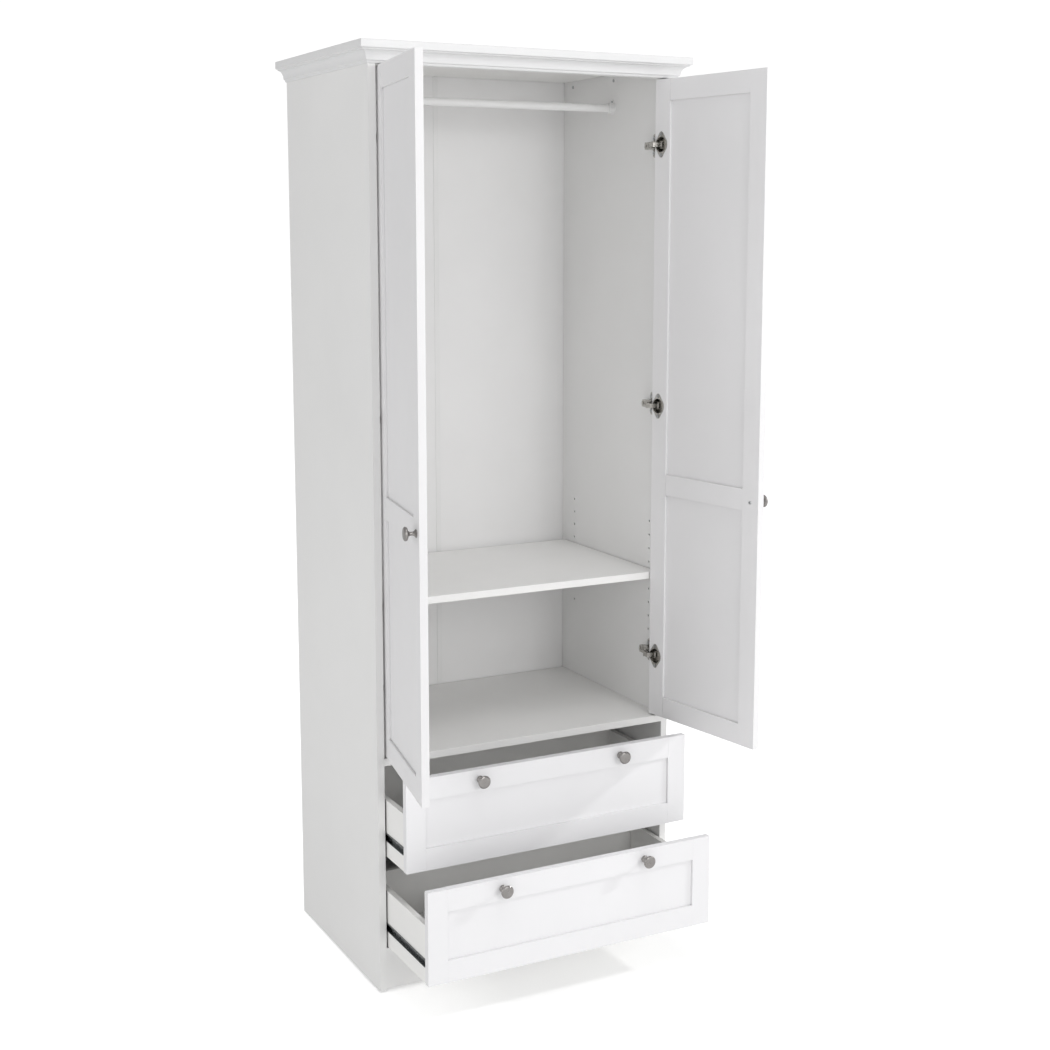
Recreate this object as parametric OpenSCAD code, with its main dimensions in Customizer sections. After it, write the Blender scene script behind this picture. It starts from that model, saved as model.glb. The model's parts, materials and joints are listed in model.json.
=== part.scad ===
// Two-door wardrobe with two drawers, in country style.
// Frame: X to the right, Y to the back, Z up. The origin is on the floor,
// under the middle of the carcass. All sizes in millimetres.
// The doors are drawn open and the drawers pulled out, as the rest pose.

/* [Carcass] */
// Outer width of the carcass, without the cornice
case_w = 726; // [640:1:900]
// Outer depth of the carcass, without the cornice
case_d = 482; // [460:1:600]
// Total height with the cornice
total_h = 2010; // [1900:1:2200]
// Thickness of the carcass boards
board = 16; // [15:0.5:18]
// Height of the plinth's upper edge
plinth_h = 100; // [90:1:140]
// Underside of the fixed shelf above the drawers
shelf_z = 509; // [480:1:560]
// Thickness of the back panels
back_t = 3; // [2.5:0.1:4]

/* [Cornice] */
// Height of the cornice
cornice_h = 44; // [40:1:60]
// How far the cornice stands out at the front
cornice_front_out = 31; // [24:1:40]
// How far the cornice stands out at the sides
cornice_side_out = 26; // [20:1:34]

/* [Doors] */
// Thickness of the door frame and drawer fronts
front_t = 16; // [15:0.5:19]
// Gap between a door and the side board
door_gap = 3; // [2.5:0.5:4]
// Gap between the two doors
door_mid_gap = 4; // [3:0.5:6]
// Width of a door's stiles
stile_w = 48; // [45:1:60]
// Width of a door's rails
rail_w = 47; // [40:1:60]
// Underside of the middle rail
mid_rail_z = 1046; // [900:1:1200]
// Depth of the panel recess on either face
recess = 5; // [3:0.5:5]
// Angle that the right door stands open
right_open = 99; // [60:0.5:104]
// Angle that the left door stands open
left_open = 100.5; // [60:0.5:104]

/* [Drawers] */
// Width of a drawer front's stiles
drawer_stile_w = 45; // [40:1:60]
// Width of a drawer front's rails
drawer_rail_w = 48; // [40:1:56]
// Height of a drawer's box
box_h = 126.5; // [90:0.5:150]
// Length of a drawer's sides
box_l = 312; // [312:1:360]
// How far the upper drawer is pulled out
upper_out = 107; // [0:1:225]
// How far the lower drawer is pulled out
lower_out = 213; // [0:1:225]
// Distance between a drawer's two knobs
knob_spacing = 346; // [200:2:440]

/* [Fittings] */
// Spacing of the shelf holes
hole_pitch = 32; // [32:1:32]
// Number of holes in each row
hole_count = 9; // [5:1:12]
// Height of the lowest shelf hole
hole_z0 = 716; // [680:1:760]
// Which hole carries the shelf, counted from 0
shelf_hole = 4; // [1:1:4]
// Height of the hanging rod's centre
rod_z = 1917; // [1850:1:1925]
// Radius of the hanging rod
rod_r = 9; // [8:0.5:12.5]
// Diameter of a knob's head
knob_d = 28; // [22:1:34]

/* [Hidden] */

$fn = 48;
e = 0.01;

white = "#F1F1EF";
inner_white = "#E9E9E6";
steel = "#8E8F8E";
dark_steel = "#54585A";
nickel = "#A39F9C";
plastic = "#F4F4F2";
beech = "#C9A878";

// carcass
xo = case_w / 2;            // outer face of a side board
xi = xo - board;            // inner face of a side board
yf = -case_d / 2;           // front edge
yb = case_d / 2;            // back edge
glide_h = 3;                // plastic glides under the side boards
cz = total_h - cornice_h;   // underside of the cornice
top_z = total_h - board;    // underside of the top board
shelf_top = shelf_z + board;
floor_z = plinth_h - 8 - board;   // underside of the bottom board
back_y = yb - 8;            // front face of the back panels
groove = 6;                 // how deep the back panels sit in the boards
clr = 0.05;                 // clearance round pins, screws and dowels

// doors
door_z0 = shelf_top + 3.5;
door_z1 = cz - 2.5;
door_x = xi - door_gap;     // hinge edge of a closed door
door_w = door_x - door_mid_gap / 2;
panel_t = front_t - 2 * recess;
pin_x = xi - 13.5;          // hinge axis
pin_y = yf + 7.2;
hinge_zs = [door_z0 + 140, (door_z0 + door_z1) / 2, door_z1 - 140];
cup_x = door_x - 20.5;      // centre of a hinge cup
cup_r = 17.45;
cup_deep = 12.5;
face_y = yf + front_t;      // inner face of a closed door
plate_y = yf + 54;          // line of the hinge plates' screws
row_y = yf + 61;            // front row of shelf holes
rear_y = row_y + 11 * hole_pitch;
door_knob_s = door_w - stile_w / 2;
door_knob_z = mid_rail_z + 20;

// drawers
front_gap = 1.5;
front_h = (shelf_z - plinth_h - 3 * front_gap) / 2;
front_x = xi - 3;
box_x = xi - 3.5;           // outer face of a drawer side
side_t = 12;
base_t = 3;
lower_z0 = plinth_h + front_gap;
upper_z0 = lower_z0 + front_h + front_gap;
box_lift = 1.5;               // drawer side above its front's lower edge
slide_dz = 44.5;              // slide's middle above the drawer side's edge
slide_h = 17.5;
slide_l = 310;
cage_l = 76;

shelf_bot = hole_z0 + shelf_hole * hole_pitch + 1;

// ---------------------------------------------------------------- helpers

module box3(x0, x1, y0, y1, z0, z1)
  translate([x0, y0, z0]) cube([x1 - x0, y1 - y0, z1 - z0]);

// cylinder along X from x0 to x1
module xcyl(x0, x1, y, z, r)
  translate([x0, y, z]) rotate([0, 90, 0]) cylinder(h = x1 - x0, r = r);

// cylinder along Y from y0 to y1
module ycyl(y0, y1, x, z, r)
  translate([x, y0, z]) rotate([-90, 0, 0]) cylinder(h = y1 - y0, r = r);

// both sides: the right one as drawn and its mirror image
module both() { children(); mirror([1, 0, 0]) children(); }

// a straight bar of width w between two points in plan, with round ends
module bar2(a, b, w) {
  d = b - a;
  translate(a) rotate(atan2(d[1], d[0])) translate([0, -w / 2]) square([norm(d), w]);
  translate(a) circle(d = w);
  translate(b) circle(d = w);
}

// ---------------------------------------------------------------- carcass

joint_zs = [top_z + board / 2, shelf_z + board / 2, floor_z + board / 2];
bolt_ys = [yf + 70, yb - 70];
dowel_ys = [yf + 38, yb - 38];

// right-hand side board with all its holes
module side_board(sgn) {
  mirror([sgn < 0 ? 1 : 0, 0, 0])
  difference() {
    box3(xi, xo, yf, yb, glide_h, total_h);
    // groove for the back panel
    box3(xi - 1, xi + groove + 0.2, back_y - clr, back_y + back_t + clr,
         floor_z, top_z + board - 10);
    // two rows of shelf holes
    for (i = [0 : hole_count - 1], y = [row_y, rear_y])
      xcyl(xi - 1, xi + 12, y, hole_z0 + i * hole_pitch, 2.5 + clr);
    // bolts and dowels of the three boards
    for (z = joint_zs) {
      for (y = bolt_ys) xcyl(xi - 1, xi + 11, y, z, 2.5 + clr);
      for (y = dowel_ys) xcyl(xi - 1, xi + 12.5, y, z, 4 + clr);
    }
    // dowels of the plinth and of the top front rail
    for (z = [plinth_h / 2 - 20, plinth_h / 2 + 20])
      xcyl(xi - 1, xi + 12.5, yf + board / 2, z, 4 + clr);
    xcyl(xi - 1, xi + 12.5, yf + board / 2, (cz + top_z) / 2, 4 + clr);
    // hinge plate screws
    for (z = hinge_zs, s = [-16, 16])
      xcyl(xi - 1, xi + 12, plate_y, z + s, 2.45 + clr);
    // rod socket screws
    xcyl(xi - 1, xi + 12, 0, rod_z + 14, 1.75 + clr);
    // slide screws
    for (z0 = [lower_z0, upper_z0], y = [plate_y, 37])
      xcyl(xi - 1, xi + 12, y, z0 + box_lift + slide_dz, 1.75 + clr);
    // cornice screws, from the inside
    for (y = [-195, -3, 189])
      xcyl(xi - 1, xo + 1, y, cz + 14, 1.75 + clr);
    // glides are nailed in from below
    for (y = [yf + 30, yb - 30])
      translate([(xi + xo) / 2, y, 0]) cylinder(h = 15 + clr, r = 1.2 + clr);
  }
}
module side_panel_left() color(white) side_board(-1);
module side_panel_right() color(white) side_board(1);

// horizontal board between the sides, with holes for its bolts, cams, dowels
module cross_board(y0, y1, z, cam_below) {
  difference() {
    box3(-xi, xi, y0, y1, z, z + board);
    both() {
      for (y = bolt_ys) {
        xcyl(xi - 34, xi + 1, y, z + board / 2, 3.5 + clr);
        translate([xi - 34, y, cam_below ? z - 1 : z + board - 12.5 - clr])
          cylinder(h = 13.5 + clr, r = 7.5 + clr);
      }
      for (y = dowel_ys) xcyl(xi - 18.5, xi + 1, y, z + board / 2, 4 + clr);
    }
  }
}

module top_panel() color(inner_white) difference() {
  cross_board(yf, yb, top_z, false);
  box3(-xi - 1, xi + 1, back_y - clr, back_y + back_t + clr, top_z - 1, top_z + groove);
}
module top_front_rail() color(inner_white) difference() {
  box3(-xi, xi, yf, yf + board, cz, top_z);
  both() xcyl(xi - 18.5, xi + 1, yf + board / 2, (cz + top_z) / 2, 4 + clr);
  for (x = [-270, -90, 90, 270])
    ycyl(yf - 1, yf + board + 1, x, cz + 14, 1.75 + clr);
}
module fixed_shelf() color(inner_white) cross_board(yf, back_y - 1.4, shelf_z, true);
module bottom_panel() color(inner_white) difference() {
  cross_board(yf + board, yb, floor_z, true);
  box3(-xi - 1, xi + 1, back_y - clr, back_y + back_t + clr,
       floor_z + board - groove, floor_z + board + 1);
}
module plinth_front() color(white) difference() {
  box3(-xi, xi, yf, yf + board, 6, plinth_h);
  both() for (z = [plinth_h / 2 - 20, plinth_h / 2 + 20])
    xcyl(xi - 18.5, xi + 1, yf + board / 2, z, 4 + clr);
}

// two thin back panels, joined in the middle
module back_half() {
  box3(0.9, xi + groove, back_y, back_y + back_t,
       floor_z + board - groove + 0.2, top_z + groove - 0.2);
}
module back_panel_right() color(inner_white) back_half();
module back_panel_left() color(inner_white) mirror([1, 0, 0]) back_half();
module back_joining_strip() color(plastic) {
  z0 = floor_z + board + 0.5;
  z1 = top_z - 0.5;
  // an H section: a rib between the panels and a lip on each face
  translate([0, 0, z0]) linear_extrude(z1 - z0) difference() {
    translate([-6, back_y - 1.1]) square([12, back_t + 2.2]);
    translate([0.7, back_y - 0.05]) square([8, back_t + 0.1]);
    translate([-8.7, back_y - 0.05]) square([8, back_t + 0.1]);
  }
}

// adjustable shelf on four pins
module adjustable_shelf() color(inner_white)
  box3(-xi + 1.5, xi - 1.5, yf + 22.5, yb - 20, shelf_bot, shelf_bot + board);
module shelf_pins() color(nickel)
  both() for (y = [row_y, rear_y]) {
    z = shelf_bot - 1;
    difference() {
      union() {
        xcyl(xi - 0.9, xi + 9, y, z, 2.5);
        xcyl(xi - 1, xi, y, z, 4);
        box3(xi - 10, xi - 0.5, y - 4, y + 4, z - 1, z + 1);
        translate([xi - 10, y, z - 1]) cylinder(h = 2, r = 4);
      }
      // nothing of the pin stands above the shelf's underside
      box3(xi - 20, xi - 1.2, y - 6, y + 6, z + 1, z + 6);
    }
  }

// hanging rod: a round tube in two sockets
module hanging_rod() color(plastic) difference() {
  xcyl(-xi + 2.5, xi - 2.5, 0, rod_z, rod_r);
  xcyl(-xi, xi, 0, rod_z, rod_r - 1.2);
}
module rod_sockets() color(plastic) both() difference() {
  union() {
    xcyl(xi - 2, xi, 0, rod_z, rod_r + 5);
    xcyl(xi - 14, xi - 1, 0, rod_z, rod_r + 3.2);
    xcyl(xi - 2, xi, 0, rod_z + 14, 6);
    box3(xi - 8, xi - 1, -4.5, 4.5, rod_z, rod_z + rod_r + 4.5);
  }
  xcyl(xi - 20, xi - 2, 0, rod_z, rod_r + clr);
  xcyl(xi - 20, xi + 1, 0, rod_z + 14, 1.75 + clr);
  xcyl(xi - 20, xi - 2, 0, rod_z + 14, 3.6);
}

// cam fittings and dowels hold the boards together
module cam_locks() color(steel) both()
  for (k = [0 : 2], y = bolt_ys) {
    z = k == 0 ? top_z + board - 12.5 : (k == 1 ? shelf_z : floor_z);
    zc = joint_zs[k];
    difference() {
      translate([xi - 34, y, z]) cylinder(h = 12.5, r = 7.5);
      xcyl(xi - 37, xi - 20, y, zc, 3.6);
      // cross slot for the driver
      translate([xi - 34, y, k == 0 ? z + 11 : z - e])
        for (a = [0, 90]) rotate(a) translate([-4, -0.8, 0]) cube([8, 1.6, 1.5 + e]);
    }
  }
module cam_bolts() color(steel) both()
  for (z = joint_zs, y = bolt_ys) {
    xcyl(xi - 36, xi - 33, y, z, 3.2);
    xcyl(xi - 33.5, xi - 30, y, z, 1.8);
    xcyl(xi - 30.5, xi, y, z, 3.4);
    xcyl(xi - 0.5, xi + 10.5, y, z, 2.5);
  }
module wood_dowels() color(beech) both() {
  for (z = joint_zs, y = dowel_ys) xcyl(xi - 18, xi + 12, y, z, 4);
  for (z = [plinth_h / 2 - 20, plinth_h / 2 + 20])
    xcyl(xi - 18, xi + 12, yf + board / 2, z, 4);
  xcyl(xi - 18, xi + 12, yf + board / 2, (cz + top_z) / 2, 4);
}
module floor_glides() color("#DADADA") both()
  for (y = [yf + 30, yb - 30]) translate([(xi + xo) / 2, y, 0]) {
    cylinder(h = 1, r1 = 6.5, r2 = 7.5);
    translate([0, 0, 1]) cylinder(h = glide_h - 1, r = 7.5);
    cylinder(h = 15, r = 1.2);
  }

// ---------------------------------------------------------------- cornice

// profile: [how far out, height], a fascia over a step, a cove and a bead
function cove_pts(n) = [for (i = [0 : n])
  let (a = 90 * i / n) [0.8 - 0.52 * sin(a), 0.56 - 0.42 * (1 - cos(a))]];
crown = concat([[0, 1], [0.96, 1], [1, 0.965], [1, 0.66], [0.95, 0.63], [0.84, 0.62], [0.8, 0.60]],
  cove_pts(8), [[0.22, 0.12], [0.16, 0.10], [0.14, 0.04], [0.08, 0], [0, 0]]);

module crown_prism(out, len)
  rotate([90, 0, 0]) translate([0, 0, -len / 2])
    linear_extrude(len) polygon([for (p = crown) [p[0] * out, p[1] * cornice_h]]);

// the prism runs along Y and stands out towards +X; the mitre is cut in plan
module cornice_side_right() intersection() {
  translate([xo, 0, cz]) crown_prism(cornice_side_out, case_d + 200);
  translate([0, 0, cz - 1]) linear_extrude(cornice_h + 2)
    polygon([[xo, yb], [xo, yf], [xo + cornice_side_out, yf - cornice_front_out],
             [xo + cornice_side_out + 1, yf - cornice_front_out],
             [xo + cornice_side_out + 1, yb]]);
}
module cornice_pilots() {
  for (y = [-195, -3, 189]) xcyl(xo - 1, xo + 7, y, cz + 14, 1.5 + clr);
}
module cornice_right() color(white) difference() { cornice_side_right(); cornice_pilots(); }
module cornice_left() color(white) mirror([1, 0, 0]) difference() { cornice_side_right(); cornice_pilots(); }
module cornice_front() color(white) difference() {
  intersection() {
    translate([0, yf, cz]) rotate(-90) crown_prism(cornice_front_out, case_w + 200);
    translate([0, 0, cz - 1]) linear_extrude(cornice_h + 2)
      polygon([[-xo, yf], [xo, yf], [xo + cornice_side_out, yf - cornice_front_out],
               [xo + cornice_side_out, yf - cornice_front_out - 1],
               [-xo - cornice_side_out, yf - cornice_front_out - 1],
               [-xo - cornice_side_out, yf - cornice_front_out]]);
  }
  for (x = [-270, -90, 90, 270]) ycyl(yf - 7, yf + 1, x, cz + 14, 1.5 + clr);
}
// countersunk screws that hold the cornice from inside
module cornice_screw() { // along +Z, head at the origin, 21 long
  cylinder(h = 1.2, r = 3.5);
  cylinder(h = 21, r = 1.5);
}
module cornice_screws() color(steel) {
  both() for (y = [-195, -3, 189])
    translate([xi - 1.2, y, cz + 14]) rotate([0, 90, 0]) cornice_screw();
  for (x = [-270, -90, 90, 270])
    translate([x, yf + board + 1.2, cz + 14]) rotate([90, 0, 0]) cornice_screw();
}

// ---------------------------------------------------------------- hinges

// neck of the arm, in plan: from the pin through the cup's mouth and back
neck_1 = [pin_x - 19.3, pin_y + 2.7];
neck_2 = [pin_x - 19.3, pin_y + 20];
neck_3 = [pin_x - 2, pin_y + 31];

module hinge_arm_right(z) translate([0, 0, z]) difference() {
  union() {
    translate([0, 0, -5]) linear_extrude(10) {
      bar2([pin_x, pin_y], neck_1, 1.8);
      bar2(neck_1, neck_2, 1.8);
    }
    translate([0, 0, -6.5]) linear_extrude(13) bar2(neck_2, neck_3, 1.8);
    translate([pin_x, pin_y, -5]) cylinder(h = 10, r = 2.4);
    // channel-shaped body over the plate
    box3(xi - 15.5, xi - 13.5, pin_y + 29.5, pin_y + 66, -8, 8);
    box3(xi - 15.5, xi - 6, pin_y + 31, pin_y + 66, -8, -6.6);
    box3(xi - 15.5, xi - 6, pin_y + 31, pin_y + 66, 6.6, 8);
    // adjusting screw, fixing screw and clip
    xcyl(xi - 17, xi - 6, pin_y + 38, 0, 3.1);
    xcyl(xi - 17.2, xi - 6, pin_y + 52, 0, 3.6);
    box3(xi - 16.6, xi - 6, pin_y + 60, pin_y + 66, -4, 4);
  }
  translate([pin_x, pin_y, -6]) cylinder(h = 12, r = 1.5 + clr);
  // cross recesses
  for (y = [38, 52]) for (a = [0, 90])
    translate([xi - 17.3, pin_y + y, 0]) rotate([a, 0, 0])
      translate([0, -1.8, -0.35]) cube([1.1, 3.6, 0.7]);
}
module hinge_arms() color(nickel) both() for (z = hinge_zs) hinge_arm_right(z);

module hinge_plate_right(z) translate([0, 0, z]) difference() {
  union() {
    box3(xi - 5.9, xi, pin_y + 30, pin_y + 68, -6.5, 6.5);
    box3(xi - 1.5, xi, plate_y - 6, plate_y + 6, -20, 20);
    for (s = [-1, 1]) xcyl(xi - 1.5, xi, plate_y, s * 20, 6);
    for (s = [-1, 1]) xcyl(xi - 2.4, xi, plate_y, s * 16, 5.2);
  }
  for (s = [-1, 1]) xcyl(xi - 4, xi + 1, plate_y, s * 16, 2.45 + clr);
}
module hinge_plates() color(nickel) both() for (z = hinge_zs) hinge_plate_right(z);
module hinge_pins() color(steel) both() for (z = hinge_zs)
  translate([pin_x, pin_y, z - 8.5]) cylinder(h = 17, r = 1.5);

// screws of the hinge plates, rod sockets and slides, all along X
module fitting_screws() color(steel) both() {
  for (z = hinge_zs, s = [-16, 16]) difference() {
    union() {
      xcyl(xi - 3.9, xi - 2.4, plate_y, z + s, 4);
      xcyl(xi - 3, xi + 11, plate_y, z + s, 2.45);
    }
    for (a = [0, 90]) translate([xi - 4, plate_y, z + s]) rotate([a, 0, 0])
      translate([0, -1.9, -0.35]) cube([1, 3.8, 0.7]);
  }
  xcyl(xi - 3.2, xi - 2, 0, rod_z + 14, 3.4);
  xcyl(xi - 3, xi + 11, 0, rod_z + 14, 1.75);
  for (z0 = [lower_z0, upper_z0], y = [plate_y, 37]) {
    xcyl(xi - 2.2, xi - 1.2, y, z0 + box_lift + slide_dz, 3.3);
    xcyl(xi - 2, xi + 11, y, z0 + box_lift + slide_dz, 1.75);
  }
}

// ---------------------------------------------------------------- doors

// a part of the right door, drawn closed, turned to its open place;
// the left door is its mirror image at its own angle
module door_pose(sgn, a) mirror([sgn < 0 ? 1 : 0, 0, 0])
  translate([pin_x, pin_y, 0]) rotate(a) translate([-pin_x, -pin_y, 0]) children();

groove_y = yf + recess;     // the panel's outer face
module panel_groove(x0, x1, z0, z1)
  box3(x0, x1, groove_y - clr, groove_y + panel_t + clr, z0, z1);

module door_stiles_shape() {
  // hinge stile, with the cup holes and the panel groove
  difference() {
    box3(door_x - stile_w, door_x, yf, face_y, door_z0, door_z1);
    panel_groove(door_x - stile_w - 1, door_x - stile_w + 6, door_z0 + rail_w - 6, door_z1 - rail_w + 6);
    for (z = hinge_zs) {
      ycyl(face_y - cup_deep - clr, face_y + 1, cup_x, z, cup_r + clr);
      for (s = [-22.5, 22.5]) ycyl(face_y - 11, face_y + 1, cup_x, z + s, 1.6 + clr);
    }
  }
  // lock stile, with the knob hole
  difference() {
    box3(door_x - door_w, door_x - door_w + stile_w, yf, face_y, door_z0, door_z1);
    panel_groove(door_x - door_w + stile_w - 6, door_x - door_w + stile_w + 1,
                 door_z0 + rail_w - 6, door_z1 - rail_w + 6);
    ycyl(yf - 1, face_y + 1, door_x - door_knob_s, door_knob_z, 2.2 + clr);
  }
}
module door_rails_shape() {
  x0 = door_x - door_w + stile_w;
  x1 = door_x - stile_w;
  difference() {
    box3(x0, x1, yf, face_y, door_z0, door_z0 + rail_w);
    panel_groove(x0 - 1, x1 + 1, door_z0 + rail_w - 6, door_z0 + rail_w + 1);
  }
  difference() {
    box3(x0, x1, yf, face_y, mid_rail_z, mid_rail_z + rail_w);
    panel_groove(x0 - 1, x1 + 1, mid_rail_z - 1, mid_rail_z + 6);
    panel_groove(x0 - 1, x1 + 1, mid_rail_z + rail_w - 6, mid_rail_z + rail_w + 1);
  }
  difference() {
    box3(x0, x1, yf, face_y, door_z1 - rail_w, door_z1);
    panel_groove(x0 - 1, x1 + 1, door_z1 - rail_w - 1, door_z1 - rail_w + 6);
  }
}
module door_panels_shape() {
  x0 = door_x - door_w + stile_w - 5.5;
  x1 = door_x - stile_w + 5.5;
  box3(x0, x1, groove_y, groove_y + panel_t, door_z0 + rail_w - 5.5, mid_rail_z + 5.5);
  box3(x0, x1, groove_y, groove_y + panel_t, mid_rail_z + rail_w - 5.5, door_z1 - rail_w + 5.5);
}

// knob along -Y, foot at the origin: flared foot, neck, mushroom head
kr = knob_d / 2;
module knob_shape() rotate([90, 0, 0]) difference() {
  rotate_extrude() polygon([[0, 0], [7.8, 0], [8, 0.6], [7.8, 1.8], [6.2, 3], [4.8, 4.8],
    [4.1, 7], [3.9, 10], [4.2, 13], [5.4, 15.2], [kr * 0.6, 16.6], [kr * 0.86, 18],
    [kr * 0.97, 19.6], [kr, 21], [kr, 22.6], [kr * 0.965, 23.4], [kr * 0.88, 24.4],
    [kr * 0.8, 24.9], [kr * 0.7, 25], [0, 25.3]]);
  translate([0, 0, -1]) cylinder(h = 13, r = 1.95 + clr);
}
// machine screw along -Y, its head on the inner face at the origin
module knob_screw(t) rotate([90, 0, 0]) difference() {
  union() {
    translate([0, 0, -1.9]) cylinder(h = 1.9, r1 = 3.1, r2 = 3.9);
    translate([0, 0, -0.1]) cylinder(h = t + 11, r = 1.95);
  }
  for (a = [0, 90]) rotate(a) translate([-1.8, -0.35, -2]) cube([3.6, 0.7, 1]);
}

module cup_shape(z) translate([0, 0, z]) difference() {
  union() {
    difference() {
      union() {
        ycyl(face_y - cup_deep, face_y, cup_x, 0, cup_r);
        // flange with two ears
        translate([cup_x, face_y + 1.2, 0]) rotate([90, 0, 0]) linear_extrude(1.2) {
          circle(r = 19);
          for (s = [-22.5, 22.5]) translate([0, s]) circle(r = 5.5);
          polygon([[-17, 8], [-5.2, 25], [5.2, 25], [17, 8], [17, -8], [5.2, -25], [-5.2, -25], [-17, -8]]);
        }
      }
      ycyl(face_y - cup_deep + 0.8, face_y + 2, cup_x, 0, cup_r - 0.85);
    }
    // two lugs that carry the pin
    for (s = [-1, 1]) intersection() {
      box3(pin_x - 3, cup_x + 20, face_y - cup_deep + 0.1, pin_y + 3, s > 0 ? 5.8 : -8.4, s > 0 ? 8.4 : -5.8);
      ycyl(face_y - cup_deep, face_y, cup_x, 0, cup_r - 0.2);
    }
  }
  translate([pin_x, pin_y, -9]) cylinder(h = 18, r = 1.5 + clr);
  for (s = [-22.5, 22.5]) ycyl(face_y - 1, face_y + 2, cup_x, s, 1.6 + clr);
}
module cup_screw(z) difference() {
  union() {
    ycyl(face_y + 1.2, face_y + 2.4, cup_x, z, 3.4);
    ycyl(face_y - 10, face_y + 2, cup_x, z, 1.6);
  }
  for (a = [0, 90]) translate([cup_x, face_y + 2.5, z]) rotate([0, a, 0])
    translate([-1.6, -0.8, -0.3]) cube([3.2, 1, 0.6]);
}

module door_stiles(s, a) color(white) door_pose(s, a) door_stiles_shape();
module door_rails(s, a) color(white) door_pose(s, a) door_rails_shape();
module door_panels(s, a) color(white) door_pose(s, a) door_panels_shape();
module door_knob(s, a) color(nickel) door_pose(s, a)
  translate([door_x - door_knob_s, yf, door_knob_z]) knob_shape();
module door_cups(s, a) color(nickel) door_pose(s, a) for (z = hinge_zs) cup_shape(z);
module door_screws(s, a) color(steel) door_pose(s, a) {
  for (z = hinge_zs, k = [-22.5, 22.5]) cup_screw(z + k);
  translate([door_x - door_knob_s, face_y, door_knob_z]) knob_screw(front_t);
}

module door_left_stiles() door_stiles(-1, left_open);
module door_left_rails() door_rails(-1, left_open);
module door_left_panels() door_panels(-1, left_open);
module door_left_knob() door_knob(-1, left_open);
module door_left_hinge_cups() door_cups(-1, left_open);
module door_left_screws() door_screws(-1, left_open);
module door_right_stiles() door_stiles(1, right_open);
module door_right_rails() door_rails(1, right_open);
module door_right_panels() door_panels(1, right_open);
module door_right_knob() door_knob(1, right_open);
module door_right_hinge_cups() door_cups(1, right_open);
module door_right_screws() door_screws(1, right_open);

// ---------------------------------------------------------------- drawers
// Each shape is drawn for a closed drawer whose front's lower edge is at z0.

module drawer_pose(out) translate([0, -out, 0]) children();

module front_stiles_shape(z0) both() difference() {
  box3(front_x - drawer_stile_w, front_x, yf, face_y, z0, z0 + front_h);
  panel_groove(front_x - drawer_stile_w - 1, front_x - drawer_stile_w + 6,
               z0 + drawer_rail_w - 6, z0 + front_h - drawer_rail_w + 6);
}
module front_rails_shape(z0) {
  x1 = front_x - drawer_stile_w;
  difference() {
    box3(-x1, x1, yf, face_y, z0, z0 + drawer_rail_w);
    panel_groove(-x1 - 1, x1 + 1, z0 + drawer_rail_w - 6, z0 + drawer_rail_w + 1);
  }
  difference() {
    box3(-x1, x1, yf, face_y, z0 + front_h - drawer_rail_w, z0 + front_h);
    panel_groove(-x1 - 1, x1 + 1, z0 + front_h - drawer_rail_w - 1, z0 + front_h - drawer_rail_w + 6);
    for (x = [-knob_spacing / 2, knob_spacing / 2])
      ycyl(yf - 1, face_y + 1, x, z0 + front_h - 22, 2.2 + clr);
  }
}
module front_panel_shape(z0) {
  x1 = front_x - drawer_stile_w + 5.5;
  box3(-x1, x1, groove_y, groove_y + panel_t, z0 + drawer_rail_w - 5.5, z0 + front_h - drawer_rail_w + 5.5);
}
box_y1 = face_y + box_l;    // back end of a closed drawer's sides
module sides_shape(z0) both() {
  zb = z0 + box_lift;
  difference() {
    box3(box_x - side_t, box_x, face_y, box_y1, zb, zb + box_h);
    // groove for the slide and groove for the base
    box3(box_x - 6, box_x + 1, face_y - 1, box_y1 + 1,
         zb + slide_dz - slide_h / 2 - 0.3, zb + slide_dz + slide_h / 2 + 0.3);
    box3(box_x - side_t - 1, box_x - side_t + 6, face_y - 1, box_y1 + 1,
         zb + 10 - clr, zb + 10 + base_t + clr);
    for (y = [plate_y + 12, 37]) xcyl(box_x - 11, box_x + 1, y, zb + slide_dz, 1.6 + clr);
    for (k = [24, 98]) xcyl(box_x - side_t - 1, box_x + 1, box_y1 - 6, zb + k, 1.9 + clr);
  }
}
module back_shape(z0) difference() {
  zb = z0 + box_lift;
  box3(-box_x + side_t, box_x - side_t, box_y1 - 12, box_y1, zb + 10 + base_t + clr, zb + box_h);
  both() for (k = [24, 98]) xcyl(box_x - side_t - 26, box_x, box_y1 - 6, zb + k, 1.6 + clr);
}
module base_shape(z0) {
  zb = z0 + box_lift;
  box3(-box_x + side_t - 5.5, box_x - side_t + 5.5, face_y, box_y1, zb + 10, zb + 10 + base_t);
}
module knobs_shape(z0) for (x = [-knob_spacing / 2, knob_spacing / 2])
  translate([x, yf, z0 + front_h - 22]) knob_shape();

// Slide sections are drawn as [distance from the side board, height].

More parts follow.
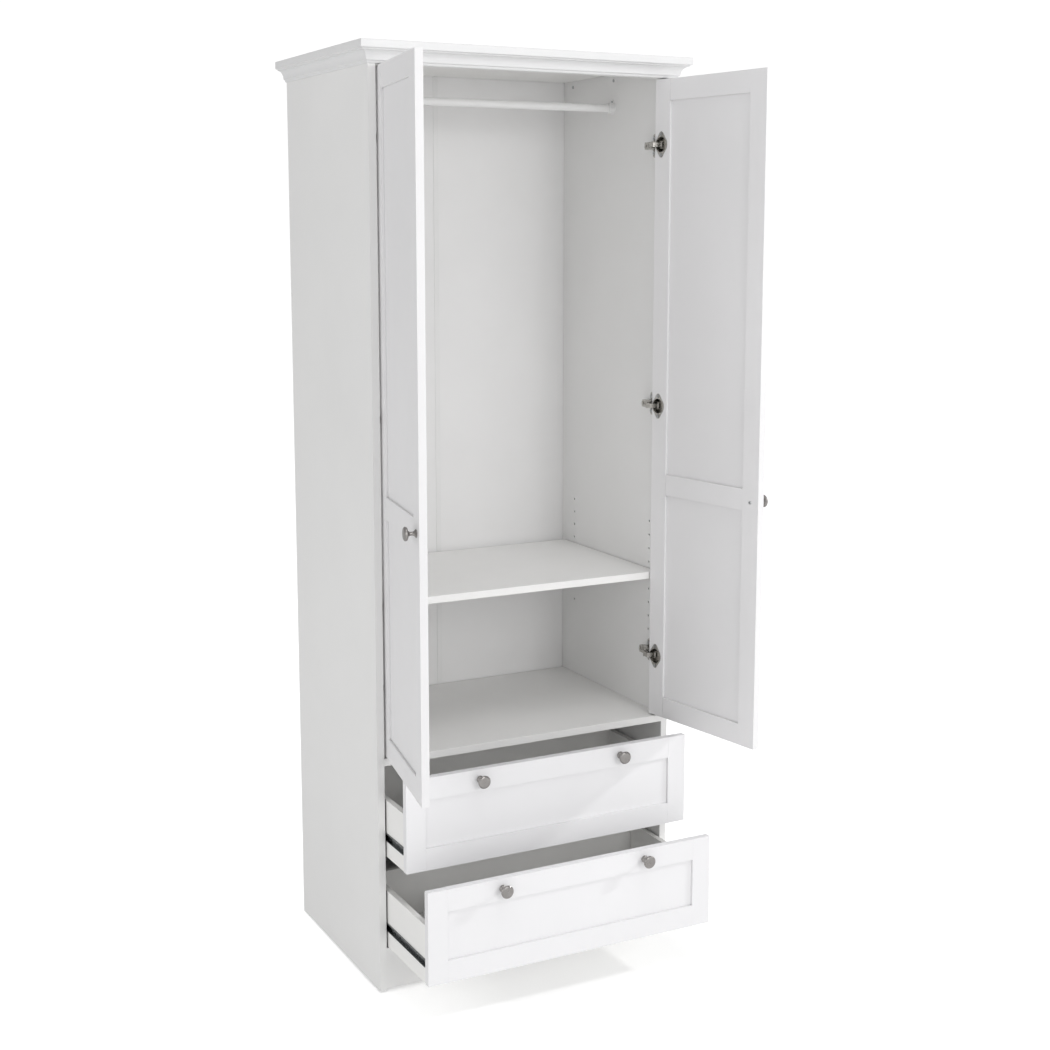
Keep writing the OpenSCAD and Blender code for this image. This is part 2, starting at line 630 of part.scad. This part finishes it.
module cabinet_slide_members() color(dark_steel) both() for (z0 = [lower_z0, upper_z0]) {
  zc = z0 + box_lift + slide_dz;
  difference() {
    translate([xi, face_y + 2, zc]) mirror([1, 0, 0]) rotate([90, 0, 0])
      translate([0, 0, -slide_l]) linear_extrude(slide_l)
        polygon([[0, 5], [6, 5], [6, 4], [1.2, 4], [1.2, -4], [6, -4], [6, -5], [0, -5]]);
    for (y = [plate_y, 37]) xcyl(xi - 2, xi + 1, y, zc, 1.75 + clr);
  }
}
module drawer_members_shape(z0) both() {
  zc = z0 + box_lift + slide_dz;
  difference() {
    translate([xi, face_y, zc]) mirror([1, 0, 0]) rotate([90, 0, 0])
      translate([0, 0, -slide_l]) linear_extrude(slide_l)
        polygon([[1.6, 8.75], [9.5, 8.75], [9.5, -8.75], [1.6, -8.75], [1.6, -7.55],
                 [8.3, -7.55], [8.3, 7.55], [1.6, 7.55]]);
    for (y = [plate_y + 12, 37]) xcyl(xi - 10, xi - 8, y, zc, 2.9 + clr);
  }
}
module drawer_screws_shape(z0) {
  zb = z0 + box_lift;
  both() {
    // slide screws, flush in the member's web
    for (y = [plate_y + 12, 37]) {
      xcyl(xi - 9.45, xi - 8.35, y, zb + slide_dz, 2.9);
      xcyl(xi - 14, xi - 9, y, zb + slide_dz, 1.6);
    }
    // sides to back
    for (k = [24, 98]) {
      xcyl(box_x, box_x + 0.9, box_y1 - 6, zb + k, 3.4);
      xcyl(box_x - side_t - 24, box_x, box_y1 - 6, zb + k, 1.6);
    }
  }
  for (x = [-knob_spacing / 2, knob_spacing / 2])
    translate([x, face_y, z0 + front_h - 22]) knob_screw(front_t);
}
// ball cage: a thin channel with two rows of balls
module cages_shape(z0) both() {
  zc = z0 + box_lift + slide_dz;
  yc = (face_y + 2 + face_y + slide_l) / 2;
  translate([xi, yc - cage_l / 2, zc]) mirror([1, 0, 0]) rotate([90, 0, 0])
    translate([0, 0, -cage_l]) linear_extrude(cage_l)
      polygon([[2.6, 6.7], [7.4, 6.7], [7.4, -6.7], [2.6, -6.7], [2.6, -5.7],
               [6.6, -5.7], [6.6, 5.7], [2.6, 5.7]]);
  for (i = [0 : 4], s = [-1, 1])
    translate([xi - 4.2, yc - 30 + 15 * i, zc + s * 6.27]) sphere(r = 1.2);
}

module upper_drawer_front_stiles() color(white) drawer_pose(upper_out) front_stiles_shape(upper_z0);
module upper_drawer_front_rails() color(white) drawer_pose(upper_out) front_rails_shape(upper_z0);
module upper_drawer_front_panel() color(white) drawer_pose(upper_out) front_panel_shape(upper_z0);
module upper_drawer_sides() color(inner_white) drawer_pose(upper_out) sides_shape(upper_z0);
module upper_drawer_back() color(inner_white) drawer_pose(upper_out) back_shape(upper_z0);
module upper_drawer_bottom() color(inner_white) drawer_pose(upper_out) base_shape(upper_z0);
module upper_drawer_knobs() color(nickel) drawer_pose(upper_out) knobs_shape(upper_z0);
module upper_drawer_slide_members() color(dark_steel) drawer_pose(upper_out) drawer_members_shape(upper_z0);
module upper_drawer_screws() color(steel) drawer_pose(upper_out) drawer_screws_shape(upper_z0);
module upper_slide_cages() color(steel) drawer_pose(upper_out / 2) cages_shape(upper_z0);
module lower_drawer_front_stiles() color(white) drawer_pose(lower_out) front_stiles_shape(lower_z0);
module lower_drawer_front_rails() color(white) drawer_pose(lower_out) front_rails_shape(lower_z0);
module lower_drawer_front_panel() color(white) drawer_pose(lower_out) front_panel_shape(lower_z0);
module lower_drawer_sides() color(inner_white) drawer_pose(lower_out) sides_shape(lower_z0);
module lower_drawer_back() color(inner_white) drawer_pose(lower_out) back_shape(lower_z0);
module lower_drawer_bottom() color(inner_white) drawer_pose(lower_out) base_shape(lower_z0);
module lower_drawer_knobs() color(nickel) drawer_pose(lower_out) knobs_shape(lower_z0);
module lower_drawer_slide_members() color(dark_steel) drawer_pose(lower_out) drawer_members_shape(lower_z0);
module lower_drawer_screws() color(steel) drawer_pose(lower_out) drawer_screws_shape(lower_z0);
module lower_slide_cages() color(steel) drawer_pose(lower_out / 2) cages_shape(lower_z0);

// ---------------------------------------------------------------- nodes

side_panel_left();
side_panel_right();
top_panel();
top_front_rail();
fixed_shelf();
bottom_panel();
plinth_front();
back_panel_left();
back_panel_right();
back_joining_strip();
cornice_front();
cornice_left();
cornice_right();
cornice_screws();
adjustable_shelf();
shelf_pins();
hanging_rod();
rod_sockets();
cam_locks();
cam_bolts();
wood_dowels();
floor_glides();
hinge_plates();
hinge_arms();
hinge_pins();
fitting_screws();
cabinet_slide_members();
door_left_stiles();
door_left_rails();
door_left_panels();
door_left_knob();
door_left_hinge_cups();
door_left_screws();
door_right_stiles();
door_right_rails();
door_right_panels();
door_right_knob();
door_right_hinge_cups();
door_right_screws();
upper_drawer_front_stiles();
upper_drawer_front_rails();
upper_drawer_front_panel();
upper_drawer_sides();
upper_drawer_back();
upper_drawer_bottom();
upper_drawer_knobs();
upper_drawer_slide_members();
upper_drawer_screws();
upper_slide_cages();
lower_drawer_front_stiles();
lower_drawer_front_rails();
lower_drawer_front_panel();
lower_drawer_sides();
lower_drawer_back();
lower_drawer_bottom();
lower_drawer_knobs();
lower_drawer_slide_members();
lower_drawer_screws();
lower_slide_cages();
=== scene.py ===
import json
import math

import bmesh
import bpy
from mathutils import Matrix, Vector


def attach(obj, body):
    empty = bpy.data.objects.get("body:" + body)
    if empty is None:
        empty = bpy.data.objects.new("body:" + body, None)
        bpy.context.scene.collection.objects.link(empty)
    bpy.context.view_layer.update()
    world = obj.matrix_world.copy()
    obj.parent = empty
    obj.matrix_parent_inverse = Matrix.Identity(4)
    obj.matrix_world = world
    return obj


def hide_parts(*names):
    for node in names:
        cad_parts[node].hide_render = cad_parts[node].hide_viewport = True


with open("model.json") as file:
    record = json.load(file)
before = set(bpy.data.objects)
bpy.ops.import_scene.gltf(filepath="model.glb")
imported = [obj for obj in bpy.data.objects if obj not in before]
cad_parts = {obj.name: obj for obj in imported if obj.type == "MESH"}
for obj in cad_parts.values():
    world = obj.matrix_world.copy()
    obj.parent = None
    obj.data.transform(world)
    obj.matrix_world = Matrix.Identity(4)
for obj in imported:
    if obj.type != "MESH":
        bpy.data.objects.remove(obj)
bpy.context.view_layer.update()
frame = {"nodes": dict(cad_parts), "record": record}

nodes = frame["nodes"]
bodies = frame["record"]["behaviour"]["bodies"]
body_of = {n: b for b, members in bodies.items() for n in members}
slot_of = {s["node"]: s["material_slot"] for s in frame["record"]["subparts"]}
scene = bpy.context.scene


# ------------------------------------------------------------ materials

class Mat:
    """A material with a Principled shader and short calls for its node tree."""

    def __init__(self, name, color, rough, metal=0.0, spec=0.5, coat=0.0):
        self.m = bpy.data.materials.new(name)
        self.m.use_nodes = True
        self.t = self.m.node_tree
        self.b = self.t.nodes["Principled BSDF"]
        self.b.inputs["Base Color"].default_value = (*color, 1)
        self.b.inputs["Roughness"].default_value = rough
        self.b.inputs["Metallic"].default_value = metal
        self.b.inputs["Specular IOR Level"].default_value = spec
        self.b.inputs["Coat Weight"].default_value = coat
        self.b.inputs["Coat Roughness"].default_value = 0.12
        self.co = self.n("ShaderNodeTexCoord").outputs["Object"]

    def n(self, kind, **values):
        node = self.t.nodes.new(kind)
        for k, v in values.items():
            setattr(node, k, v)
        return node

    def link(self, a, b):
        self.t.links.new(a, b)

    def mapped(self, scale=(1, 1, 1), rot=(0, 0, 0)):
        m = self.n("ShaderNodeMapping")
        m.inputs["Scale"].default_value = scale
        m.inputs["Rotation"].default_value = rot
        self.link(self.co, m.inputs["Vector"])
        return m.outputs["Vector"]

    def noise(self, scale, detail=3.0, rough=0.5, vec=None, distortion=0.0):
        n = self.n("ShaderNodeTexNoise")
        n.inputs["Scale"].default_value = scale
        n.inputs["Detail"].default_value = detail
        n.inputs["Roughness"].default_value = rough
        n.inputs["Distortion"].default_value = distortion
        self.link(vec or self.co, n.inputs["Vector"])
        return n.outputs["Fac"]

    def voronoi(self, scale, feature="F1", vec=None):
        n = self.n("ShaderNodeTexVoronoi", feature=feature)
        n.inputs["Scale"].default_value = scale
        self.link(vec or self.co, n.inputs["Vector"])
        return n.outputs["Distance"]

    def range(self, value, lo, hi, a=0.3, b=0.7):
        n = self.n("ShaderNodeMapRange")
        n.inputs["From Min"].default_value = a
        n.inputs["From Max"].default_value = b
        n.inputs["To Min"].default_value = lo
        n.inputs["To Max"].default_value = hi
        self.link(value, n.inputs["Value"])
        return n.outputs["Result"]

    def mix(self, fac, a, b, kind="MIX"):
        n = self.n("ShaderNodeMix", data_type="RGBA", blend_type=kind)
        for sock, v in ((n.inputs[0], fac), (n.inputs[6], a), (n.inputs[7], b)):
            if hasattr(v, "is_output"):
                self.link(v, sock)
            elif isinstance(v, (int, float)):
                sock.default_value = v
            else:
                sock.default_value = (*v, 1)
        return n.outputs[2]

    def bevel(self, radius, samples=4):
        n = self.n("ShaderNodeBevel", samples=samples)
        n.inputs["Radius"].default_value = radius
        return n.outputs["Normal"]

    def ao(self, distance, samples=6):
        n = self.n("ShaderNodeAmbientOcclusion", samples=samples)
        n.inputs["Distance"].default_value = distance
        return n.outputs["AO"]

    def bump(self, height, distance, strength=1.0, normal=None):
        n = self.n("ShaderNodeBump")
        n.inputs["Strength"].default_value = strength
        n.inputs["Distance"].default_value = distance
        self.link(height, n.inputs["Height"])
        if normal is not None:
            self.link(normal, n.inputs["Normal"])
        return n.outputs["Normal"]

    def color(self, v):
        self.link(v, self.b.inputs["Base Color"])

    def rough(self, v):
        self.link(v, self.b.inputs["Roughness"])

    def normal(self, v):
        self.link(v, self.b.inputs["Normal"])


def painted(name, base, seed, peel=1.0, rough=(0.36, 0.48), crease_shade_keep=0.86, radius=0.0006):
    """Sprayed satin paint on fibreboard: soft tone drift, orange peel, and painted shade darkening the joints,
    creases and holes.
    """
    k = Mat(name, base, 0.42, spec=0.5)
    shift = k.n("ShaderNodeVectorMath", operation="ADD")
    k.link(k.co, shift.inputs[0])
    shift.inputs[1].default_value = (seed * 3.7, seed * 1.3, seed * 2.1)
    v = shift.outputs[0]
    dark = tuple(c * 0.972 for c in base)
    light = tuple(min(1, c * 1.012) for c in base)
    drift = k.range(k.noise(2.3, 3, 0.55, v), 0, 1)
    tone = k.mix(drift, dark, light)
    specks = k.range(k.noise(420, 2, 0.6, v), 0, 0.05, 0.62, 0.78)
    tone = k.mix(specks, tone, tuple(c * 0.80 for c in base))
    # painted shade: ambient occlusion darkens the colour in creases and in the gaps where parts meet
    crease_shade = k.range(k.ao(0.006), 1, 0, 0.25, 0.85)
    tone = k.mix(k.range(crease_shade, 0, 1 - crease_shade_keep, 0, 1), tone, tuple(c * 0.45 for c in base))
    # painted shade: ambient occlusion darkens the colour deep inside holes
    hole_shade = k.range(k.ao(0.010, 8), 1, 0, 0.08, 0.38)
    tone = k.mix(k.range(hole_shade, 0, 0.85, 0, 1), tone, tuple(c * 0.22 for c in base))
    k.color(tone)
    k.rough(k.range(k.noise(34, 4, 0.6, v), *rough))
    fine = k.noise(950, 2, 0.5, v)
    wave = k.noise(75, 2, 0.5, v)
    nrm = k.bevel(radius)
    nrm = k.bump(wave, 0.00010 * peel, 0.5, nrm)
    nrm = k.bump(fine, 0.00004 * peel, 0.6, nrm)
    k.normal(nrm)
    return k.m


def faced(name, base, seed, rough=(0.40, 0.52)):
    """Melamine-faced board: a fine pearl texture and a faint cloudiness."""
    k = Mat(name, base, 0.45, spec=0.45)
    shift = k.n("ShaderNodeVectorMath", operation="ADD")
    k.link(k.co, shift.inputs[0])
    shift.inputs[1].default_value = (seed * 2.9, seed * 4.1, seed * 1.7)
    v = shift.outputs[0]
    tone = k.mix(k.range(k.noise(3.1, 4, 0.6, v), 0, 1), tuple(c * 0.975 for c in base), tuple(min(1, c * 1.012) for c in base))
    pearl = k.range(k.voronoi(1400, vec=v), 0, 0.035, 0.2, 0.7)
    tone = k.mix(pearl, tone, tuple(c * 0.86 for c in base))
    # painted shade: ambient occlusion darkens the colour in creases and where the board meets other parts
    crease_shade = k.range(k.ao(0.008), 1, 0, 0.2, 0.85)
    tone = k.mix(k.range(crease_shade, 0, 0.16, 0, 1), tone, tuple(c * 0.45 for c in base))
    # painted shade: ambient occlusion darkens the colour deep inside holes
    hole_shade = k.range(k.ao(0.010, 8), 1, 0, 0.08, 0.38)
    tone = k.mix(k.range(hole_shade, 0, 0.85, 0, 1), tone, tuple(c * 0.22 for c in base))
    k.color(tone)
    k.rough(k.range(k.noise(26, 4, 0.6, v), *rough))
    nrm = k.bevel(0.0004)
    nrm = k.bump(k.voronoi(1400, vec=v), 0.00005, 0.5, nrm)
    k.normal(nrm)
    return k.m


def metal(name, base, rough, brushed=(1, 1, 1), patina_and_shade=0.35, radius=0.0003, spread=0.10, shade_distance=0.004):
    """Plated steel: fine brushing, uneven gloss, and painted shade darkening its corners and where it meets
    other parts (on the knobs partly an antique patina).
    """
    k = Mat(name, base, rough, metal=1.0)
    lines = k.noise(900, 3, 0.6, k.mapped(brushed))
    cloud = k.range(k.noise(60, 4, 0.6), 0, 1)
    tone = k.mix(cloud, tuple(c * 0.88 for c in base), tuple(min(1, c * 1.08) for c in base))
    tone = k.mix(k.range(lines, 0, 0.18), tone, tuple(c * 0.7 for c in base))
    # painted shade: ambient occlusion darkens the colour in corners, hollows and where the part meets its
    # neighbours; on the knobs partly an antique patina
    corner_shade = k.range(k.ao(shade_distance), patina_and_shade, 0, 0.25, 0.9)
    k.color(k.mix(corner_shade, tone, tuple(c * 0.25 for c in base)))
    k.rough(k.range(k.noise(120, 3, 0.6), rough - spread / 2, rough + spread / 2))
    k.normal(k.bump(lines, 0.00003, 0.35, k.bevel(radius)))
    return k.m


def moulded(name, base, rough=0.42):
    """Moulded plastic: a very fine spark-eroded grain."""
    k = Mat(name, base, rough, spec=0.45)
    grain = k.voronoi(2300)
    k.color(k.mix(k.range(k.noise(9, 3), 0, 1), tuple(c * 0.965 for c in base), base))
    k.rough(k.range(k.noise(55, 3), rough - 0.05, rough + 0.06))
    k.normal(k.bump(grain, 0.00004, 0.45, k.bevel(0.0004)))
    return k.m


def coated_tube(name, base):
    """Powder-coated rod with fine lengthwise drawing lines under the coat."""
    k = Mat(name, base, 0.26, spec=0.5, coat=0.25)
    lines = k.noise(160, 2, 0.5, k.mapped((0.03, 1, 1)))
    k.color(k.mix(k.range(lines, 0, 1), tuple(c * 0.965 for c in base), base))
    k.rough(k.range(k.noise(12, 3, 0.5, k.mapped((0.2, 1, 1))), 0.26, 0.34))
    return k.m


def timber(name):
    """Beech: straight grain along the dowel with short dark flecks."""
    k = Mat(name, (0.60, 0.42, 0.26), 0.55)
    grain = k.noise(260, 5, 0.65, k.mapped((0.06, 1, 1)), distortion=0.6)
    tone = k.mix(k.range(grain, 0, 1), (0.66, 0.47, 0.29), (0.50, 0.33, 0.19))
    fleck = k.range(k.noise(900, 2, 0.5, k.mapped((0.15, 1, 1))), 0, 0.6, 0.62, 0.75)
    k.color(k.mix(fleck, tone, (0.33, 0.20, 0.11)))
    k.rough(k.range(grain, 0.5, 0.65))
    k.normal(k.bump(grain, 0.0001, 0.4))
    return k.m


WHITE = (0.835, 0.830, 0.838)
INNER = (0.866, 0.862, 0.846)

mats = {
    "case": painted("paint_case", (0.845, 0.843, 0.836), 1.0),
    "door": painted("paint_doors", WHITE, 2.0),
    "drawer": painted("paint_drawer_fronts", (0.830, 0.826, 0.838), 3.0),
    # painted shade: the cornice carries the same white paint as the case, set darker so it reads shaded
    "cornice": painted("paint_cornice_shaded", (0.775, 0.775, 0.778), 4.0, peel=0.8),
    "inner": faced("board_inside", INNER, 1.0),
    "shelf": faced("board_shelves", (0.888, 0.884, 0.872), 2.0),
    "box": faced("board_drawer_box", (0.888, 0.884, 0.868), 3.0),
    "back": faced("board_back", (0.872, 0.868, 0.866), 5.0, rough=(0.46, 0.58)),
    "knob": metal("knob_nickel", (0.34, 0.325, 0.315), 0.30, (1, 1, 1), patina_and_shade=0.75, radius=0.0004, spread=0.12, shade_distance=0.006),
    "hinge": metal("hinge_nickel", (0.50, 0.485, 0.455), 0.27, (1, 1, 0.15), patina_and_shade=0.8, shade_distance=0.005),
    "zinc": metal("screw_zinc", (0.52, 0.53, 0.54), 0.33, (1, 1, 1), patina_and_shade=0.7, shade_distance=0.002),
    # painted shade: the slide's plated steel is set far darker than plated steel so it reads as sitting in the
    # shade of the drawer gap
    "slide": metal("slide_steel_shaded", (0.24, 0.25, 0.255), 0.28, (1, 0.03, 1), patina_and_shade=0.5, shade_distance=0.004),
    "cage": metal("slide_cage_steel", (0.36, 0.37, 0.38), 0.25, (1, 0.05, 1), patina_and_shade=0.5, shade_distance=0.003),
    "beech": timber("dowel_beech"),
    "plastic": moulded("white_moulding", (0.85, 0.85, 0.845)),
    "rod": coated_tube("rod_white_coat", (0.86, 0.86, 0.855)),
}


def material_for(n):
    s = slot_of[n]
    if s == "white_paint":
        if n.startswith("cornice"):
            return mats["cornice"]
        if n.startswith("door_"):
            return mats["door"]
        if "drawer" in n:
            return mats["drawer"]
        return mats["case"]
    if s == "white_board":
        if n.startswith("back_panel"):
            return mats["back"]
        if "shelf" in n:
            return mats["shelf"]
        if "drawer" in n:
            return mats["box"]
        return mats["inner"]
    return {
        "knob_metal": mats["knob"], "nickel_steel": mats["hinge"], "zinc_steel": mats["zinc"],
        "slide_steel": mats["slide"], "cage_steel": mats["cage"], "beech": mats["beech"],
        "white_plastic": mats["plastic"], "rod_coating": mats["rod"],
    }[s]


for name, ob in nodes.items():
    ob.data.materials.clear()
    ob.data.materials.append(material_for(name))
    for p in ob.data.polygons:
        p.material_index = 0


# ------------------------------------------------------------ rounded edges

def softened(node, width, segments=2, angle=40):
    """A copy of a CAD node whose sharp edges are rounded over, shown in its place."""
    src = nodes[node]
    bm = bmesh.new()
    bm.from_mesh(src.data)
    bmesh.ops.remove_doubles(bm, verts=bm.verts, dist=1e-6)
    bmesh.ops.dissolve_limit(bm, angle_limit=math.radians(0.4), verts=bm.verts, edges=bm.edges)
    bm.normal_update()
    me = bpy.data.meshes.new(node + "_rounded")
    bm.to_mesh(me)
    bm.free()
    me.materials.clear()
    me.materials.append(src.data.materials[0])
    for p in me.polygons:
        p.use_smooth = True
        p.material_index = 0
    ob = bpy.data.objects.new(node + "_rounded", me)
    scene.collection.objects.link(ob)
    bev = ob.modifiers.new("round_over", "BEVEL")
    bev.width = width
    bev.segments = segments
    bev.limit_method = "ANGLE"
    bev.angle_limit = math.radians(angle)
    bev.use_clamp_overlap = True
    wn = ob.modifiers.new("flat_faces", "WEIGHTED_NORMAL")
    wn.keep_sharp = False
    wn.weight = 100
    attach(ob, body_of[node])
    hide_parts(node)
    return ob


for node in nodes:
    if node.endswith("_stiles") or node.endswith("_rails"):
        softened(node, 0.0007, 3)
for node in ("plinth_front", "top_front_rail"):
    softened(node, 0.0006, 2)
for node in ("fixed_shelf", "adjustable_shelf"):
    softened(node, 0.0006, 2)
for node in ("upper_drawer_back", "lower_drawer_back", "upper_drawer_sides", "lower_drawer_sides"):
    softened(node, 0.0006, 2)
for node in ("cornice_front", "cornice_left", "cornice_right"):
    softened(node, 0.0005, 2, angle=50)


# ------------------------------------------------------------ stage, light, camera

LIGHT = {"world": 0.49, "floor": 0.10, "painted_floor_glow": 0.14, "key": 105, "front": 88, "side": 32, "left": 42, "top": 36}

me = bpy.data.meshes.new("floor")
bm = bmesh.new()
bmesh.ops.create_circle(bm, cap_ends=True, radius=40, segments=96)
bm.to_mesh(me)
bm.free()
floor = bpy.data.objects.new("floor", me)
scene.collection.objects.link(floor)
k = Mat("floor_pale", (0.93, 0.93, 0.93), 0.7, spec=0.2)
k.color(k.mix(k.range(k.noise(1.7, 3), 0, 1), (0.925, 0.925, 0.925), (0.94, 0.94, 0.94)))
k.rough(k.range(k.noise(30, 3), 0.62, 0.78))
k.b.inputs["Emission Color"].default_value = (1, 1, 1, 1)
# Floor emission: a small constant glow on every ray, so the floor lights the wardrobe from below; for camera
# rays only, painted light that grows from weak near a point under the drawers to strong 0.85 m out, washing out
# the key light's cast shadow on the floor
far = k.n("ShaderNodeVectorMath", operation="DISTANCE")
k.link(k.co, far.inputs[0])
far.inputs[1].default_value = (0.18, -0.38, 0)
seen = k.n("ShaderNodeMath", operation="MULTIPLY_ADD")
k.link(k.n("ShaderNodeLightPath").outputs["Is Camera Ray"], seen.inputs[0])
k.link(k.range(far.outputs["Value"], LIGHT["painted_floor_glow"], 0.55, 0.30, 0.85), seen.inputs[1])
seen.inputs[2].default_value = LIGHT["floor"]
k.link(seen.outputs["Value"], k.b.inputs["Emission Strength"])
floor.data.materials.append(k.m)

world = bpy.data.worlds.new("studio")
scene.world = world
world.use_nodes = True
wt = world.node_tree
bg = wt.nodes["Background"]
path = wt.nodes.new("ShaderNodeLightPath")
rng = wt.nodes.new("ShaderNodeMapRange")
rng.inputs["To Min"].default_value = LIGHT["world"]
rng.inputs["To Max"].default_value = 1.05
wt.links.new(path.outputs["Is Camera Ray"], rng.inputs["Value"])
wt.links.new(rng.outputs["Result"], bg.inputs["Strength"])
bg.inputs["Color"].default_value = (1, 1, 1, 1)


def area(name, loc, target, size, power, color=(1, 1, 1)):
    d = bpy.data.lights.new(name, "AREA")
    d.shape = "DISK"
    d.size = size
    d.energy = power
    d.color = color
    o = bpy.data.objects.new(name, d)
    scene.collection.objects.link(o)
    o.location = loc
    o.rotation_mode = "QUATERNION"
    o.rotation_quaternion = (Vector(target) - Vector(loc)).to_track_quat("-Z", "Y")
    return o


aim = Vector((0, -0.3, 0.9))
SOFTBOXES = {  # place, disc diameter
    "key": (aim + Vector((0.874, -0.3015, 0.380)).normalized() * 6.0, 0.34),
    "front": (Vector((0.8, -6.0, 2.4)), 3.0),
    "side": (Vector((-4.6, -4.6, 2.2)), 3.0),
    "left": (Vector((-6.0, -1.0, 1.8)), 3.0),
    "top": (Vector((0.0, -2.6, 5.5)), 2.6),
}
for light, (place, size) in SOFTBOXES.items():
    if LIGHT[light] > 0:
        area(light, place, aim, size, LIGHT[light])

cam_data = bpy.data.cameras.new("camera")
cam = bpy.data.objects.new("camera", cam_data)
scene.collection.objects.link(cam)
cam_data.sensor_width = 36
cam_data.lens = 36 * 1614 / 1050
cam_data.shift_y = -0.05
cam.location = (-1.613, -3.307, 1.633)
cam.rotation_euler = (math.radians(90 - 8.47), 0, math.radians(-27.61))
cam_data.clip_start, cam_data.clip_end = 0.05, 200
scene.camera = cam

scene.view_settings.view_transform = "Standard"
scene.view_settings.look = "None"
